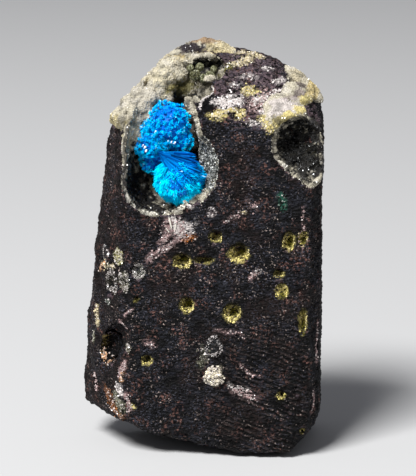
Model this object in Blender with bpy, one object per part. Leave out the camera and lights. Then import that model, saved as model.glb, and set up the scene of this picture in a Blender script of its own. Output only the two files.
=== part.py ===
"""A hand specimen: a blue cavansite rosette in a crust-lined hollow of a basalt block.

The block stands on its flat foot at z = 0, with its sawn front towards -Y. Sizes and places in
this script are millimetres, which the functions below turn into metres as they make a mesh.
"""
import math
import random

import bmesh
import bpy
from mathutils import Matrix, Vector, noise
from mathutils.bvhtree import BVHTree

MM = 0.001

# The block.
CENTRE = Vector((0, 0.2, 36))
BLOCK_SPAN = Vector((43, 25, 74))
GRID_CELL = 4.2
EDGE_SHARPNESS = 60
FRONT_Y = -12.0
FOOT_Z = -0.8
FOOT_FLATTEN = 0.45
# Dents: how wide the wide and the small ones are, and how deep the small ones are beside them.
WIDE_DENT = 9.0
SMALL_DENT = 4.0
SMALL_DENT_SHARE = 0.6
# Moves the finished solids so that the foot is at z = 0 and the whole is centred over it.
STAND = Vector((0.6, 0.0, -FOOT_Z))
# Each face that bounds it: a point on the face, its outward direction, and how rough it is.
BLOCK_FACES = [
    ((0, FRONT_Y, 36), (0, -1, 0), 0.12),
    ((0, 12.9, 30), (0.05, 1, 0.06), 1.1),
    ((0, 12.2, 16), (-0.28, 1, -0.16), 0.9),
    ((21.4, 0, 34), (1, 0.03, 0), 0.3),
    ((20.3, -11, 34), (0.75, -0.66, 0), 0.2),
    ((18.8, 10, 30), (0.72, 0.7, 0.05), 0.8),
    ((-22.8, 0, 12), (-1, 0, 0.05), 0.5),
    ((-20.8, 0, 31.4), (-1, 0.02, 0.125), 0.5),
    ((-13.9, -12, 20), (-0.77, -0.64, 0), 0.45),
    ((-13.7, -12, 52), (-0.885, -0.468, 0.1), 0.3),
    ((-18, 9.5, 30), (-0.66, 0.75, 0.1), 0.9),
    ((0, 0, FOOT_Z), (0, 0, -1), 0),
    ((11, -12, FOOT_Z), (-0.2, -0.288, -0.937), 0.35),
    ((-7.2, -12, 2.7), (-0.379, -0.266, -0.886), 0.5),
    ((18.6, -10, 2.4), (0.81, -0.1, -0.58), 0.35),
    ((6.7, -12, 61.3), (0.19, -0.56, 0.80), 0.4),
    ((-17.0, -5, 58.8), (-0.70, 0.03, 0.71), 0.4),
    ((-14.0, -12, 59.5), (-0.35, -0.6, 0.72), 0.3),
    ((0, 6, 73.5), (0.09, 0.6, 0.8), 1.0),
    ((21, 0, 62.8), (0.62, -0.1, 0.78), 0.4),
]

# Gap kept between the crusts, the crystals and the rock, so that no two solids overlap.
GAP = 0.3
# How far a crust's rim stands out of the rock around it.
RIM_PROUD = 0.3
# Points nearer to each other than this are one point.
WELD = 0.004
# How much a ball's points stand out to make up for its flat faces, before any division.
FACET_SWELL = 0.5
# The lumps on round spaces: how wide they are, and their height in a hollow, in a pit and in
# the low pocket.
ROUND_LUMP = 2.6
AIR_ROUGH = 0.25
PIT_ROUGH = 0.3
POCKET_ROUGH = 0.5

# The main hollow: the centre and half widths of each round space it is made of, and the
# thickness of the crust around that space.
MAIN_HOLLOW = [
    ((-6.6, -8.5, 56.0), (6.8, 9.6, 11.8), 0.7),
    ((-8.2, -9.0, 50.5), (5.3, 7.3, 6.1), 0.7),
    ((-1.8, -12.5, 52.9), (4.5, 5.8, 6.0), 0.6),
    ((-4.9, -4.3, 65.8), (6.0, 6.0, 5.8), 0.8),
    ((-0.2, -0.4, 68.4), (3.2, 3.9, 3.0), 0.7),
]
# A lumpy roll of crust caps the broken wall above the hollow: x, y, z and half thickness.
CAP_LINE = [(-15.0, -8.4, 60.4, 2.0), (-12.4, -6.0, 63.0, 2.3), (-9.7, -3.2, 65.5, 2.4),
            (-7.1, -0.4, 68.2, 2.4), (-4.3, 2.2, 70.6, 2.3), (-1.4, 4.2, 72.2, 2.1),
            (1.8, 4.4, 71.8, 1.9), (5.0, 4.2, 70.8, 1.5)]
CAP_RINGS = 21
CAP_LUMP = 1.7
CAP_ROUGH = 0.7

# Spaces over this half width get a finer surface.
WIDE_SPACE = 5.6

# The narrow hollow at the right edge, and the crust patches on the slope above it.
SIDE_HOLLOW = [
    ((17.6, -11.2, 58.1), (4.2, 6.0, 4.6), 0.5),
    ((18.9, -11.2, 55.4), (3.3, 5.0, 3.8), 0.5),
    ((20.4, -11.2, 52.6), (2.1, 4.0, 2.5), 0.5),
]
SIDE_PATCHES = [
    ((15.2, -7.8, 62.6), (3.9, 4.6, 1.2), (0.25, -0.56, 0.8)),
    ((17.0, -3.0, 65.3), (3.2, 2.6, 1.2), (0.35, -0.5, 0.8)),
    ((18.0, 0.2, 66.6), (1.5, 4.8, 1.1), (0.62, -0.2, 0.78)),
]
# The open pocket low on the left.
LOW_POCKET = ((-17.0, -9.8, 18.4), (2.4, 5.0, 3.8))
LOW_POCKET_LEAN = 24

# The blue crystals: centre, half widths, how finely the ball is divided and how far its
# crystals stand out. The stem joins them to the back of the hollow.
ROSETTES = [
    ((-5.7, -7.6, 60.3), (3.8, 3.7, 3.8), 3, 0.7),
    ((-9.3, -6.6, 56.6), (2.8, 3.1, 2.8), 2, 0.8),
    ((-3.5, -8.2, 57.2), (2.0, 2.4, 2.2), 2, 0.6),
    ((-9.6, -5.4, 52.6), (2.0, 2.6, 2.2), 2, 0.6),
    ((-3.8, -8.9, 50.0), (4.2, 4.1, 4.2), 3, 0.7),
]
STEM = ((-6.3, -3.2, 56.0), (4.2, 5.4, 5.2))
# How unevenly a rosette's crystals are set, how lumpy its ball is, and how their length varies.
TIP_SCATTER = 0.5
ROSETTE_LUMP = 0.45
ROSETTE_SWELL = 0.09
SPIKE_RANGE = (0.3, 1.5)
# Faces that look back further than this, towards the stem, carry no crystal.
HIDDEN_BACK = 0.3
# The open space in front of the hollow, which the crystals may reach into.
OPEN_SPACE = ((-5, -14, 56), (14, 8, 14))

# Gas pits. On the front: x, z, half width and half height.
FRONT_PITS = [
    (2.9, 40.5, 1.1, 1.1), (-3.2, 35.9, 1.6, 1.4), (0.8, 36.1, 1.7, 0.8), (7.1, 37.5, 1.9, 1.8),
    (-2.3, 27.8, 1.3, 1.5), (5.9, 26.5, 1.7, 1.7), (16.1, 39.9, 1.1, 1.8), (18.6, 40.4, 0.8, 1.4),
    (14.3, 33.9, 0.9, 0.9), (18.7, 25.0, 0.8, 2.5), (15.6, 12.3, 0.9, 0.9),
    (-9.7, 17.3, 1.1, 0.9), (-11.3, 33.8, 1.4, 1.8), (-18.2, 34.8, 1.1, 1.6),
    (-16.7, 30.2, 1.4, 2.7), (-14.3, 31.0, 1.2, 1.6), (-17.8, 26.4, 0.8, 1.3),
    (-13.4, 19.1, 0.8, 1.1),
]
# Pits whose mineral filling stands out as a low dome.
FRONT_DOMES = [
    (2.6, 20.1, 1.6, 1.9), (2.6, 14.6, 1.8, 1.9), (14.9, 30.8, 1.2, 1.4),
]
PIT_DEPTH = 1.2
# A pit's middle lies a little outside the face, so that no ring of its points is in the face.
PIT_LIFT = 0.13
WIDE_PIT = 1.3
DOME_HEIGHT = 0.5
# The faces that the front view hides have pits of the same size and number for their area.
HIDDEN_SIDES = {"back": (Vector((0, 1, 0)), 6), "right": (Vector((1, 0, 0)), 2),
                "left": (Vector((-1, 0, 0)), 2)}
HIDDEN_PIT_RADIUS = (0.8, 2.0)
HIDDEN_PIT_STRETCH = (0.8, 1.5)
# How far from the middle of its side such a pit may lie, as a share of the side's width, the
# heights between which it may lie, and the seed of its random draw.
HIDDEN_SPREAD = 0.36
HIDDEN_HEIGHTS = (9, 58)
HIDDEN_SEED = 11
# A distance from which a line to the block starts well outside it.
OUTSIDE = 60

COLOURS = {
    "basalt_matrix": ((0.028, 0.022, 0.024), 0.78),
    "vug_crust": ((0.62, 0.55, 0.36), 0.6),
    "side_vug_crust": ((0.60, 0.56, 0.44), 0.55),
    "cavansite": ((0.0, 0.17, 0.62), 0.35),
}


def lumps(point, size, seed=0.0):
    """Smooth noise from -1 to 1 that changes over the given size in millimetres."""
    return noise.noise(point / size + Vector((seed, 3.7 * seed, 1.3 * seed)))


def new_object(name, bm):
    """Make an object from a bmesh in millimetres."""
    bmesh.ops.scale(bm, vec=(MM, MM, MM), verts=bm.verts)
    mesh = bpy.data.meshes.new(name)
    bm.to_mesh(mesh)
    bm.free()
    obj = bpy.data.objects.new(name, mesh)
    bpy.context.scene.collection.objects.link(obj)
    return obj


def block(name, grow=0.0):
    """The basalt block: a gridded box whose points move in to the faces that bound it."""
    bm = bmesh.new()
    bmesh.ops.create_cube(bm, size=1)
    for axis in range(3):
        along = [e for e in bm.edges if abs(e.verts[0].co[axis] - e.verts[1].co[axis]) > 1e-6]
        cuts = round(BLOCK_SPAN[axis] / GRID_CELL) - 1
        bmesh.ops.subdivide_edges(bm, edges=along, cuts=cuts, use_grid_fill=True)
    faces = [(Vector(point), Vector(normal).normalized(), rough)
             for point, normal, rough in BLOCK_FACES]
    for vert in bm.verts:
        ray = Vector(vert.co[i] * BLOCK_SPAN[i] for i in range(3)).normalized()
        total = 0.0
        rough_sum = 0.0
        for point, normal, rough in faces:
            facing = max(0.0, ray.dot(normal))
            share = (facing / (point - CENTRE).dot(normal)) ** EDGE_SHARPNESS
            total += share
            rough_sum += share * rough
        place = CENTRE + ray * total ** (-1 / EDGE_SHARPNESS)
        dents = lumps(place, WIDE_DENT) + SMALL_DENT_SHARE * lumps(place, SMALL_DENT, 5.0)
        place += ray * (rough_sum / total * dents + grow)
        if place.z < FOOT_Z + FOOT_FLATTEN:
            place.z = FOOT_Z - grow
        vert.co = place
    bmesh.ops.recalc_face_normals(bm, faces=bm.faces)
    return new_object(name, bm)


def ball(name, centre, radii, detail=2, grow=0.0, rough=0.0, lean=0.0, facing=None):
    """A round space or lump: an icosphere stretched to its half widths.

    Flat faces lie inside the true ball, so the points stand a little outside it in return.
    """
    bm = bmesh.new()
    bmesh.ops.create_icosphere(bm, subdivisions=detail, radius=1)
    swell = 1 + FACET_SWELL / 4 ** detail
    for vert in bm.verts:
        out = vert.co.normalized()
        place = Vector(out[i] * radii[i] * swell for i in range(3))
        vert.co = place + out * (grow + rough * lumps(place + Vector(centre), ROUND_LUMP, 9.0))
    if facing is not None:
        bmesh.ops.rotate(bm, matrix=Vector(facing).to_track_quat("Z", "Y").to_matrix(),
                         verts=bm.verts)
    bmesh.ops.rotate(bm, matrix=Matrix.Rotation(math.radians(lean), 3, "Y"), verts=bm.verts)
    bmesh.ops.translate(bm, vec=centre, verts=bm.verts)
    return new_object(name, bm)


def spiky_ball(name, centre, radii, detail, spike):
    """A rosette: each face of a ball, but for its back, is drawn out to a crystal's tip."""
    dice = random.Random(sum(centre))
    bm = bmesh.new()
    bmesh.ops.create_icosphere(bm, subdivisions=detail, radius=1)
    unevenness = TIP_SCATTER / 2 ** detail
    for vert in bm.verts:
        out = vert.co + Vector(dice.uniform(-unevenness, unevenness) for _ in range(3))
        out.normalize()
        swell = 1 + ROSETTE_SWELL * lumps(out + Vector(centre), ROSETTE_LUMP)
        vert.co = Vector(out[i] * radii[i] * swell for i in range(3))
    bm.normal_update()
    for face in [f for f in bm.faces if f.normal.y < HIDDEN_BACK]:
        bmesh.ops.poke(bm, faces=[face], offset=spike * dice.uniform(*SPIKE_RANGE),
                       center_mode="MEAN")
    bmesh.ops.translate(bm, vec=centre, verts=bm.verts)
    return new_object(name, bm)


def combine(target, operation, others):
    """Join, cut or keep what is shared with the other shapes, which are used up."""
    cutters = bpy.data.collections.new("cutters")
    for other in others:
        cutters.objects.link(other)
    modifier = target.modifiers.new(operation, "BOOLEAN")
    modifier.operation = operation
    modifier.solver = "EXACT"
    modifier.operand_type = "COLLECTION"
    modifier.collection = cutters
    result = bpy.data.meshes.new_from_object(
        target.evaluated_get(bpy.context.evaluated_depsgraph_get()))
    target.modifiers.clear()
    target.data = result
    for other in others:
        bpy.data.objects.remove(other)
    bpy.data.collections.remove(cutters)
    return target


def union(parts):
    """One solid from overlapping shapes, joined one after another."""
    whole = parts[0]
    for part in parts[1:]:
        combine(whole, "UNION", [part])
    return whole


def hollow_air(spaces, shrink=0.0):
    """The open space of a hollow, with the lumpy surface of the crust around it."""
    return union([ball("air", centre, radii, 3 if max(radii) > WIDE_SPACE else 2, -shrink,
                       AIR_ROUGH)
                  for centre, radii, _ in spaces])


def hollow_room(spaces, grow=0.0):
    """The space of a hollow and its crust together."""
    return union([ball("room", centre, radii, 2, crust + grow)
                  for centre, radii, crust in spaces])


def points_along(line, count):
    """Equal steps along a line of straight runs, with the half thickness as a fourth value."""
    corners = [Vector(p) for p in line]
    lengths = [(b - a).length for a, b in zip(corners, corners[1:])]
    for step in range(count):
        left = sum(lengths) * step / (count - 1)
        for start, end, length in zip(corners, corners[1:], lengths):
            if left <= length or end is corners[-1]:
                yield start.lerp(end, min(1.0, left / length))
                break
            left -= length


def cap_roll(grow=0.0):
    """The lumpy roll of crust on the broken wall above the main hollow."""
    curve = bpy.data.curves.new("cap", "CURVE")
    curve.dimensions = "3D"
    curve.bevel_depth = 1.0
    curve.bevel_resolution = 2
    curve.use_fill_caps = True
    spline = curve.splines.new("POLY")
    spline.points.add(CAP_RINGS - 1)
    for point, (x, y, z, half) in zip(spline.points, points_along(CAP_LINE, CAP_RINGS)):
        point.co = (x, y, z, 1)
        point.radius = half
    guide = bpy.data.objects.new("cap", curve)
    bm = bmesh.new()
    bm.from_mesh(guide.to_mesh())
    guide.to_mesh_clear()
    bpy.data.objects.remove(guide)
    bmesh.ops.remove_doubles(bm, verts=bm.verts, dist=WELD)
    bmesh.ops.recalc_face_normals(bm, faces=bm.faces)
    bm.normal_update()
    shifts = [v.normal * (grow + CAP_ROUGH * lumps(v.co, CAP_LUMP, 2.0)) for v in bm.verts]
    for vert, shift in zip(bm.verts, shifts):
        vert.co += shift
    return new_object("cap", bm)


def side_patches(grow=0.0):
    """The flat crust patches on the slope above the side hollow."""
    return [ball("patch", centre, radii, 2, grow, PIT_ROUGH, facing=facing)
            for centre, radii, facing in SIDE_PATCHES]


def main_crust():
    """The crust that lines the main hollow and caps the wall above it."""
    lining = combine(hollow_room(MAIN_HOLLOW), "INTERSECT", [block("skin", RIM_PROUD)])
    crust = combine(lining, "UNION", [cap_roll()])
    return combine(crust, "DIFFERENCE", [hollow_air(MAIN_HOLLOW)])


def side_crust():
    """The crust that lines the narrow hollow at the right, with the patches above it."""
    room = hollow_room(SIDE_HOLLOW)
    crust = combine(room, "INTERSECT", [block("skin", RIM_PROUD)])
    for patch in side_patches():
        combine(crust, "UNION", [patch])
    return combine(crust, "DIFFERENCE", [hollow_air(SIDE_HOLLOW)])


def pit_places(rock):
    """Where each pit and dome lies: its place, its outward direction and its half widths."""
    tree = BVHTree.FromObject(rock, bpy.context.evaluated_depsgraph_get())

    def found(start, direction):
        place, normal, _, _ = tree.ray_cast(start * MM, direction)
        return place / MM + normal * PIT_LIFT, normal

    def on_front(rows):
        return [(*found(Vector((x, -OUTSIDE, z)), Vector((0, 1, 0))), *half_widths)
                for x, z, *half_widths in rows]

    pits = on_front(FRONT_PITS)
    dice = random.Random(HIDDEN_SEED)
    for outward, count in HIDDEN_SIDES.values():
        across = outward.cross(Vector((0, 0, 1)))
        reach = BLOCK_SPAN.dot(Vector(abs(v) for v in across)) * HIDDEN_SPREAD
        for _ in range(count):
            spot = across * dice.uniform(-reach, reach) + Vector((0, 0, dice.uniform(*HIDDEN_HEIGHTS)))
            hit = found(spot + outward * OUTSIDE, -outward)
            radius = dice.uniform(*HIDDEN_PIT_RADIUS)
            pits.append((*hit, radius, radius * dice.uniform(*HIDDEN_PIT_STRETCH)))
    return pits, on_front(FRONT_DOMES)


def basalt():
    """The block with its two hollows, its low pocket, its pits and its filled pits."""
    rock = block("basalt_matrix")
    pits, domes = pit_places(rock)
    cuts = [hollow_room(MAIN_HOLLOW, GAP), cap_roll(GAP),
            hollow_room(SIDE_HOLLOW, GAP), *side_patches(GAP)]
    cuts.append(ball("pocket", *LOW_POCKET, 3, 0.0, POCKET_ROUGH, LOW_POCKET_LEAN))
    for place, outward, half_width, half_height in pits:
        detail = 2 if min(half_width, half_height) > WIDE_PIT else 1
        depth = min(PIT_DEPTH, half_width)
        cuts.append(ball("pit", place, (half_width, half_height, depth), detail, 0.0, PIT_ROUGH,
                         facing=outward))
    for cut in cuts:
        combine(rock, "DIFFERENCE", [cut])
    for place, outward, half_width, half_height in domes:
        combine(rock, "UNION", [ball("dome", place, (half_width, half_height, DOME_HEIGHT), 2,
                                     0.0, PIT_ROUGH, facing=outward)])
    return rock


def crystals():
    """The blue rosettes, grown together, held inside the hollow's crust."""
    whole = union([spiky_ball("rosette", *rosette) for rosette in ROSETTES]
                  + [ball("stem", *STEM)])
    outside = ball("outside", *OPEN_SPACE)
    combine(outside, "DIFFERENCE", [block("skin", RIM_PROUD + GAP)])
    free = combine(hollow_air(MAIN_HOLLOW, shrink=GAP), "UNION", [outside])
    return combine(whole, "INTERSECT", [free])


def drop_crumbs(obj):
    """Keep the largest body and delete the crumbs that a cut may leave beside it."""
    bm = bmesh.new()
    bm.from_mesh(obj.data)
    bmesh.ops.remove_doubles(bm, verts=bm.verts, dist=WELD * MM)
    bodies = []
    seen = set()
    for start in bm.verts:
        if start in seen:
            continue
        body = {start}
        edge_of_body = [start]
        while edge_of_body:
            vert = edge_of_body.pop()
            for edge in vert.link_edges:
                other = edge.other_vert(vert)
                if other not in body:
                    body.add(other)
                    edge_of_body.append(other)
        seen |= body
        bodies.append(body)
    largest = max(bodies, key=len)
    bmesh.ops.delete(bm, geom=[v for v in bm.verts if v not in largest], context="VERTS")
    bm.to_mesh(obj.data)
    bm.free()


def finish(obj, name):
    """Name a node and give it its own material."""
    drop_crumbs(obj)
    obj.data.transform(Matrix.Translation(STAND * MM))
    obj.name = name
    obj.data.name = name
    colour, roughness = COLOURS[name]
    material = bpy.data.materials.new(name)
    material.use_nodes = True
    shader = material.node_tree.nodes["Principled BSDF"]
    shader.inputs["Base Color"].default_value = (*colour, 1)
    shader.inputs["Roughness"].default_value = roughness
    obj.data.materials.clear()
    obj.data.materials.append(material)


def main():
    for obj in list(bpy.data.objects):
        bpy.data.objects.remove(obj)
    for name, make in (("basalt_matrix", basalt), ("vug_crust", main_crust),
                       ("side_vug_crust", side_crust), ("cavansite", crystals)):
        finish(make(), name)


main()
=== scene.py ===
import math

import bmesh
import bpy
import numpy as np
from mathutils import Matrix, Vector, noise
from mathutils.bvhtree import BVHTree


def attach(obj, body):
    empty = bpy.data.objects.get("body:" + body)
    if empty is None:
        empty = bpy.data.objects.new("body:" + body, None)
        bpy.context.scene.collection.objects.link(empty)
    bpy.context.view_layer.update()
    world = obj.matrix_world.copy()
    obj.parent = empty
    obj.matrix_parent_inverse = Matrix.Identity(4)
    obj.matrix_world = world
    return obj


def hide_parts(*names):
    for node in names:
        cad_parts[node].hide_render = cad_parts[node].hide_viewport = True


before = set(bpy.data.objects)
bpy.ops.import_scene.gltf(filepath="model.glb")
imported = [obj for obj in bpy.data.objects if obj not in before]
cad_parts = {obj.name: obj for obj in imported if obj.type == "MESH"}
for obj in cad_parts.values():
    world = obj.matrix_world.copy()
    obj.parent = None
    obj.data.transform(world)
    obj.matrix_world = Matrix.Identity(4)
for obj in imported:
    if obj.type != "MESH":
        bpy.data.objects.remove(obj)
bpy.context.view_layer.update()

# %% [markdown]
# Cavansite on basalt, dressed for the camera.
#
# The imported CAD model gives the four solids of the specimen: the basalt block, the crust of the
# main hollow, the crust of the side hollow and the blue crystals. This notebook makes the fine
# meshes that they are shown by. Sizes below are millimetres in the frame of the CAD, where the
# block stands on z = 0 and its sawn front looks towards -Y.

MM = 0.001
SEED = 7
dice = np.random.default_rng(SEED)

# %% [markdown]
# The camera comes first, because the places of the small features are judged through it. The
# photograph was taken with a long lens from a little above and a little to the right, so a short
# telephoto view from half a metre away gives the same, nearly parallel, perspective. The lens is
# worked out from how many millimetres of the specimen's front one pixel shows.

# %% Camera at the photograph's angle
# The picture's height in pixels, and how many millimetres of the front one pixel shows.
PHOTO_HEIGHT = 476
PIXEL = 0.18
# From the camera to the point that it is aimed at, and how much nearer the sawn front is.
DISTANCE = 450.0
FRONT_NEARER = 12.0
AZIMUTH = math.radians(5)
ELEVATION = math.radians(12)
AIM = Vector((1.1, 0, 38.5))

away = Vector((math.sin(AZIMUTH) * math.cos(ELEVATION), -math.cos(AZIMUTH) * math.cos(ELEVATION),
               math.sin(ELEVATION)))
camera_data = bpy.data.cameras.new("camera")
camera = bpy.data.objects.new("camera", camera_data)
bpy.context.scene.collection.objects.link(camera)
bpy.context.scene.camera = camera
camera.location = (AIM + away * DISTANCE) * MM
camera.rotation_euler = away.to_track_quat("Z", "Y").to_euler()
camera_data.lens = camera_data.sensor_width * (DISTANCE - FRONT_NEARER) / PIXEL / PHOTO_HEIGHT
camera_data.clip_start = 10 * MM
print("lens in millimetres:", round(camera_data.lens, 1))

# %% [markdown]
# Two helpers bring a CAD node in. Its mesh is loose triangles, so a copy is merged first. A voxel
# remesh then gives it small, even faces, which can carry grain and lumps as real shape. It also
# grows balls that overlap the node together with it, which is how a crust gets its thick banks.

# %% Bringing a CAD node in as a fine mesh
WELD = 0.002


def object_from(name, bm):
    """Make an object from a bmesh in metres."""
    mesh = bpy.data.meshes.new(name)
    bm.to_mesh(mesh)
    bm.free()
    obj = bpy.data.objects.new(name, mesh)
    bpy.context.scene.collection.objects.link(obj)
    return obj


def fine_copy(node, name, voxel, lumps=()):
    """A copy of a CAD node, grown together with round lumps, with faces as small as a voxel."""
    bm = bmesh.new()
    bm.from_mesh(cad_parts[node].data)
    bmesh.ops.remove_doubles(bm, verts=bm.verts, dist=WELD * MM)
    for centre, half_widths in lumps:
        ball = bmesh.ops.create_icosphere(bm, subdivisions=4, radius=MM)
        bmesh.ops.scale(bm, vec=half_widths, verts=ball["verts"])
        bmesh.ops.translate(bm, vec=Vector(centre) * MM, verts=ball["verts"])
    obj = object_from(name, bm)
    remesh = obj.modifiers.new("remesh", "REMESH")
    remesh.mode = "VOXEL"
    remesh.voxel_size = voxel * MM
    remesh.use_smooth_shade = True
    shown = obj.evaluated_get(bpy.context.evaluated_depsgraph_get())
    fine = bpy.data.meshes.new_from_object(shown)
    obj.modifiers.clear()
    obj.data = fine
    fine.name = name
    fine.materials.clear()
    print(name, "has", len(fine.polygons), "faces")
    return obj


# %% [markdown]
# A mesh here has up to a hundred thousand points, which is slow to change one at a time. These
# helpers read the points into one array of rows and write them back together.

# %% Reading and moving the points of a mesh
def points_of(obj):
    """The places of a mesh's points, in millimetres."""
    flat = np.empty(len(obj.data.vertices) * 3)
    obj.data.vertices.foreach_get("co", flat)
    return flat.reshape(-1, 3) / MM


def outward_of(obj):
    """The outward direction at each point of a mesh."""
    flat = np.empty(len(obj.data.vertices) * 3)
    obj.data.vertex_normals.foreach_get("vector", flat)
    return flat.reshape(-1, 3)


def move_points(obj, places):
    """Put a mesh's points at new places, given in millimetres."""
    obj.data.vertices.foreach_set("co", (places * MM).ravel())
    obj.data.update()


def tree_of(obj):
    """A search tree for finding the nearest surface of an object."""
    return BVHTree.FromObject(obj, bpy.context.evaluated_depsgraph_get())


# %% [markdown]
# Rock and crystals look natural only when nothing on them repeats. Blender's noise gives such
# unevenness and is the same on every run. Waves rise and fall smoothly, for dents and stains, and
# beads are round bumps side by side, for crusts. A ramp turns noise into the share of a paint.

# %% Noise over many points at once
def waves(places, size, seed=0.0):
    """Smooth noise from -1 to 1 that changes over the given size."""
    shifted = places / size + (seed, 2.3 * seed, 3.1 * seed)
    return np.array([noise.noise(p) for p in shifted.tolist()])


def beads(places, size, seed=0.0):
    """Round bumps packed side by side: 1 on top of a bump, 0 in the creases."""
    shifted = places / size + (seed, 2.3 * seed, 3.1 * seed)
    nearest = np.array([noise.voronoi(p)[0][0] for p in shifted.tolist()])
    return 1 - np.clip(nearest, 0, 1) ** 2


def ramp(values, low, high):
    """0 below low, 1 above high and a smooth step between."""
    t = np.clip((values - low) / (high - low), 0, 1)
    return t * t * (3 - 2 * t)


# %% [markdown]
# Colours are kept on the points of each mesh, as an attribute that its material reads. An image
# could hold them too, but a point's colour needs no unwrapping, and it follows the shape.

# %% Mixing colours and keeping them on a mesh
def srgb(red, green, blue):
    """A colour as seen on a screen, 0 to 255, as the light it stands for."""
    return np.array([((c / 255 + 0.055) / 1.055) ** 2.4 if c > 10 else c / 3295
                     for c in (red, green, blue)])


def mix(under, over, share):
    """Lay a colour over others, by a share for each point."""
    return under + (np.asarray(over) - under) * np.asarray(share)[:, None]


def paint(obj, name, colours):
    """Keep a colour for each point of a mesh."""
    layer = obj.data.attributes.new(name, "FLOAT_COLOR", "POINT")
    layer.data.foreach_set("color", np.c_[colours, np.ones(len(colours))].ravel())


# %% [markdown]
# The basalt is one block of dark, fine-grained rock. Gas left pits in it as it cooled. Those on
# the front are ovals lined with straw-coloured beads, and a larger pocket low on the left is
# open and dark. The solids have most of them, but shallow, so their places are listed here, to
# push them deeper and to colour them.

# %% Where the pits and the pocket lie
# A point whose y is below this is on the front of the block, and not in a hollow or behind.
ON_FRONT = -7
# Lined pits on the sawn front: x, z, half width, half height, and how full of yellow each is.
YELLOW_PITS = [
    (3.5, 41.3, 1.15, 1.15, 0.3), (-2.6, 36.7, 1.6, 1.5, 0.5), (1.4, 36.9, 1.8, 0.8, 0.0),
    (7.7, 38.3, 1.9, 1.8, 0.5), (-1.7, 28.6, 1.25, 1.5, 0.7), (6.5, 27.3, 1.55, 1.7, 0.7),
    (16.7, 40.7, 1.1, 1.8, 1.0), (19.2, 41.2, 0.9, 1.4, 1.2), (14.9, 34.7, 0.9, 0.9, 0.2),
    (15.5, 31.6, 1.2, 1.4, 1.4), (19.3, 25.8, 0.8, 2.5, 1.2), (15.5, 12.0, 0.8, 0.9, 0.3),
    (-9.1, 18.1, 1.1, 0.9, 0.6), (19.3, 5.1, 0.4, 0.7, 0.8), (-10.9, 29.4, 0.45, 0.5, 0.0),
]
# The open pocket low on the left, a slanting oval: middle as x and z, half length, half width
# and the lean of its long axis to the right of upright, and how much deeper than in the CAD.
POCKET = (-15.3, 20.4)
POCKET_LONG = 4.6
POCKET_WIDE = 2.4
POCKET_LEAN = math.radians(27)
POCKET_DEEPER = 2.6
PIT_DEEPER = 1.3
# The pocket's left wall is golden below this height.
GOLD_BELOW = 21.5


def in_pocket(places):
    """How far each place is across the pocket, and out from its middle, both 1 at its edge."""
    x, z = places[:, 0] - POCKET[0], places[:, 2] - POCKET[1]
    up = (x * math.sin(POCKET_LEAN) + z * math.cos(POCKET_LEAN)) / POCKET_LONG
    across = (x * math.cos(POCKET_LEAN) - z * math.sin(POCKET_LEAN)) / POCKET_WIDE
    return across, np.hypot(up, across)


print("pits:", len(YELLOW_PITS), "and a pocket", 2 * POCKET_LONG, "mm long")

# %% [markdown]
# The front was sawn, so it is nearly flat, with faint, slanting saw lines low on the right. The
# other sides are broken and rougher. Sculpting by hand could give this relief too, but noise
# gives the same rock on each run from a few numbers. Each point moves along its outward
# direction, by waves of several sizes.

# %% The basalt's relief
ROCK_VOXEL = 0.38
# The saw lines: how far apart they are and how much they fall to the right.
SAW_PERIOD = 0.95
SAW_SLOPE = 0.36

rock = fine_copy("basalt_matrix", "basalt_block", ROCK_VOXEL)
at = points_of(rock)
out = outward_of(rock)
sawn = ramp(-out[:, 1], 0.75, 0.95)
broken = 1 - sawn
# Saw lines show low on the right of the sawn front.
low_right = sawn * ramp(at[:, 0], -5, 11) * ramp(-at[:, 2], -32, -17)
along_saw = at[:, 2] + SAW_SLOPE * at[:, 0]
saw_lines = np.sin(2 * np.pi * along_saw / SAW_PERIOD + 2.0 * waves(at, 4.0, 4.0))
ridges = 0.5 - np.abs(waves(at * (0.55, 1, 1.3), 1.2, 3.0))
# Dents, sharp ridges, grain and saw lines, each by its height in millimetres.
lift = ((0.10 + 0.25 * broken) * waves(at, 2.8, 1.0)
        + 0.55 * (ridges - 0.25)
        + 0.22 * waves(at * (0.8, 1, 1.6), 0.8, 2.0)
        + 0.10 * low_right * saw_lines)
at = at + out * lift[:, None]
for x, z, half_width, half_height, _ in YELLOW_PITS:
    inside = ((at[:, 0] - x) / half_width) ** 2 + ((at[:, 2] - z) / half_height) ** 2
    at[:, 1] += PIT_DEEPER * (at[:, 1] < ON_FRONT) * np.sqrt(np.clip(1 - inside, 0, 1))
_, reach = in_pocket(at)
at[:, 1] += POCKET_DEEPER * (at[:, 1] < ON_FRONT) * np.sqrt(np.clip(1 - reach ** 2, 0, 1))
at[:, 2] = np.maximum(at[:, 2], 0)
move_points(rock, at)
rock_tree = tree_of(rock)
print("the relief goes from", round(lift.min(), 2), "to", round(lift.max(), 2), "mm")

# %% [markdown]
# Minerals stain the basalt, streak it and fill its pits. They could be brushed on by hand. Here
# each mark is a row of numbers, so that its colour and, later, its grains share one place. First
# come the colours, from nearly black rock to the white of sugary crystals.

# %% The colours of the rock and its minerals
BASALT = srgb(6, 5, 7)
SLATE = srgb(30, 31, 38)
PURPLE = srgb(112, 95, 101)
BROWN = srgb(32, 22, 20)
STRAW = srgb(214, 200, 120)
SAND = srgb(206, 191, 126)
OLIVE = srgb(104, 98, 40)
CREAM = srgb(204, 190, 152)
SUGAR = srgb(214, 206, 202)
PINK = srgb(164, 136, 134)
DEEP_OLIVE = srgb(108, 102, 30)
GOLD = srgb(122, 106, 50)
GREY_GREEN = srgb(124, 124, 104)
APRICOT = srgb(204, 158, 116)
RUST = srgb(150, 88, 34)
TEAL = srgb(40, 92, 75)
# Black for painted shade, at the tops of the pits, in the open pocket and in a small hole.
SHADE_BLACK = srgb(10, 9, 10)
print("the basalt's red, green and blue, from 0 to 1:", BASALT.round(4))

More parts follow.
